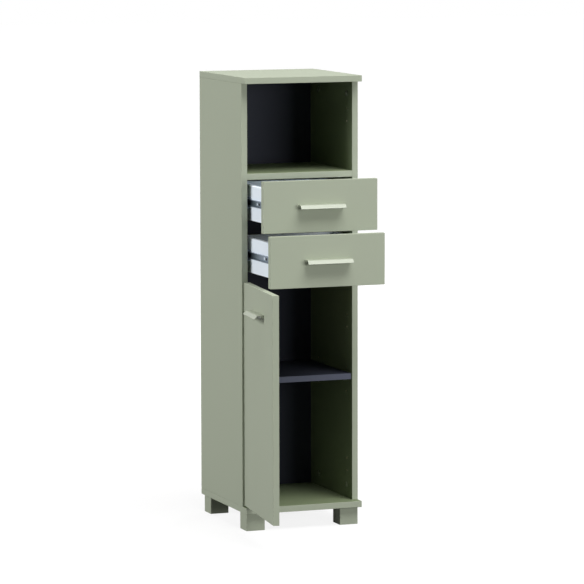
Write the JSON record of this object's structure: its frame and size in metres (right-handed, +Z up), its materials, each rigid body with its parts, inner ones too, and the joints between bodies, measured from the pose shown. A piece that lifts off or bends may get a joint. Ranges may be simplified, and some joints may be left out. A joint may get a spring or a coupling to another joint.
{
  "type": "tall bathroom cabinet",
  "caption": "Tall narrow bathroom cabinet on square feet: open niche above pull-out drawers on ball runners and a left-hung door over a shelf compartment.",
  "frame": {"origin": "on the floor, under the middle of the carcass's footprint", "axes": "+Z up, -Y out of the front, +Y towards the wall, +X to the right seen from the front"},
  "size_m": [0.3645, 0.633, 1.17],
  "materials": {
    "sage_board": "satin melamine on chipboard",
    "anthracite_board": "matt melamine on board",
    "white_board": "satin white foil on board",
    "handle_metal": "satin",
    "runner_steel": "zinc plated",
    "hinge_steel": "nickel plated",
    "bright_steel": "zinc plated",
    "cast_zinc": "die cast",
    "beech": "plain turned"
  },
  "bodies": {
    "carcass": {"top_board": "sage_board", "bottom_board": "sage_board", "side_panel_left": "sage_board", "side_panel_right": "sage_board", "back_panel": "anthracite_board", "niche_shelf": "sage_board", "inner_shelf": "anthracite_board", "shelf_pins": "bright_steel", "foot_front_left": "sage_board", "foot_front_right": "sage_board", "foot_rear_left": "sage_board", "foot_rear_right": "sage_board", "foot_screws": "bright_steel", "cam_discs": "cast_zinc", "cam_bolts": "bright_steel", "dowels": "beech", "wall_bracket": "hinge_steel", "wall_bracket_screws": "bright_steel", "cabinet_runner_screws": "bright_steel", "upper_cabinet_runners": "runner_steel", "lower_cabinet_runners": "runner_steel", "hinge_plates": "hinge_steel", "hinge_plate_screws": "bright_steel", "hinge_arms": "hinge_steel", "hinge_arm_pins": "bright_steel"},
    "upper_drawer": {"upper_drawer_front": "sage_board", "upper_drawer_side_left": "white_board", "upper_drawer_side_right": "white_board", "upper_drawer_back": "white_board", "upper_drawer_bottom": "white_board", "upper_drawer_handle": "handle_metal", "upper_drawer_handle_screws": "bright_steel", "upper_drawer_runners": "runner_steel", "upper_drawer_runner_screws": "bright_steel", "upper_drawer_cam_discs": "cast_zinc", "upper_drawer_cam_bolts": "bright_steel", "upper_drawer_back_screws": "bright_steel"},
    "lower_drawer": {"lower_drawer_front": "sage_board", "lower_drawer_side_left": "white_board", "lower_drawer_side_right": "white_board", "lower_drawer_back": "white_board", "lower_drawer_bottom": "white_board", "lower_drawer_handle": "handle_metal", "lower_drawer_handle_screws": "bright_steel", "lower_drawer_runners": "runner_steel", "lower_drawer_runner_screws": "bright_steel", "lower_drawer_cam_discs": "cast_zinc", "lower_drawer_cam_bolts": "bright_steel", "lower_drawer_back_screws": "bright_steel"},
    "upper_cages": {"upper_ball_cages": "runner_steel", "upper_balls": "bright_steel"},
    "lower_cages": {"lower_ball_cages": "runner_steel", "lower_balls": "bright_steel"},
    "hinge_links": {"hinge_links": "hinge_steel"},
    "door": {"door_panel": "sage_board", "door_handle": "handle_metal", "door_handle_screws": "bright_steel", "hinge_cups": "hinge_steel", "hinge_cup_pins": "bright_steel", "hinge_cup_screws": "bright_steel"}
  },
  "joints": [
    {"name": "upper_drawer_slide", "type": "slide", "parent": "carcass", "child": "upper_drawer", "axis": [0, -1, 0], "range_m": [-0.13, 0.075]},
    {"name": "upper_cage_roll", "type": "slide", "parent": "carcass", "child": "upper_cages", "axis": [0, -1, 0], "range_m": [-0.065, 0.0375]},
    {"name": "lower_drawer_slide", "type": "slide", "parent": "carcass", "child": "lower_drawer", "axis": [0, -1, 0], "range_m": [-0.1805, 0.0245]},
    {"name": "lower_cage_roll", "type": "slide", "parent": "carcass", "child": "lower_cages", "axis": [0, -1, 0], "range_m": [-0.09025, 0.01225]},
    {"name": "hinge_link_swing", "type": "hinge", "parent": "carcass", "child": "hinge_links", "pos_m": [-0.128, -0.147, 0.151], "axis": [0, 0, 1], "range_deg": [-29, 1.04]},
    {"name": "door_swing", "type": "hinge", "parent": "hinge_links", "child": "door", "pos_m": [-0.142, -0.15887, 0.151], "axis": [0, 0, 1], "range_deg": [-4.42, 125.58]}
  ],
  "couplings": [
    {"joint": "upper_cage_roll", "follows": "upper_drawer_slide", "ratio": 0.5},
    {"joint": "lower_cage_roll", "follows": "lower_drawer_slide", "ratio": 0.5},
    {"joint": "hinge_link_swing", "follows": "door_swing", "ratio": -0.23077}
  ]
}
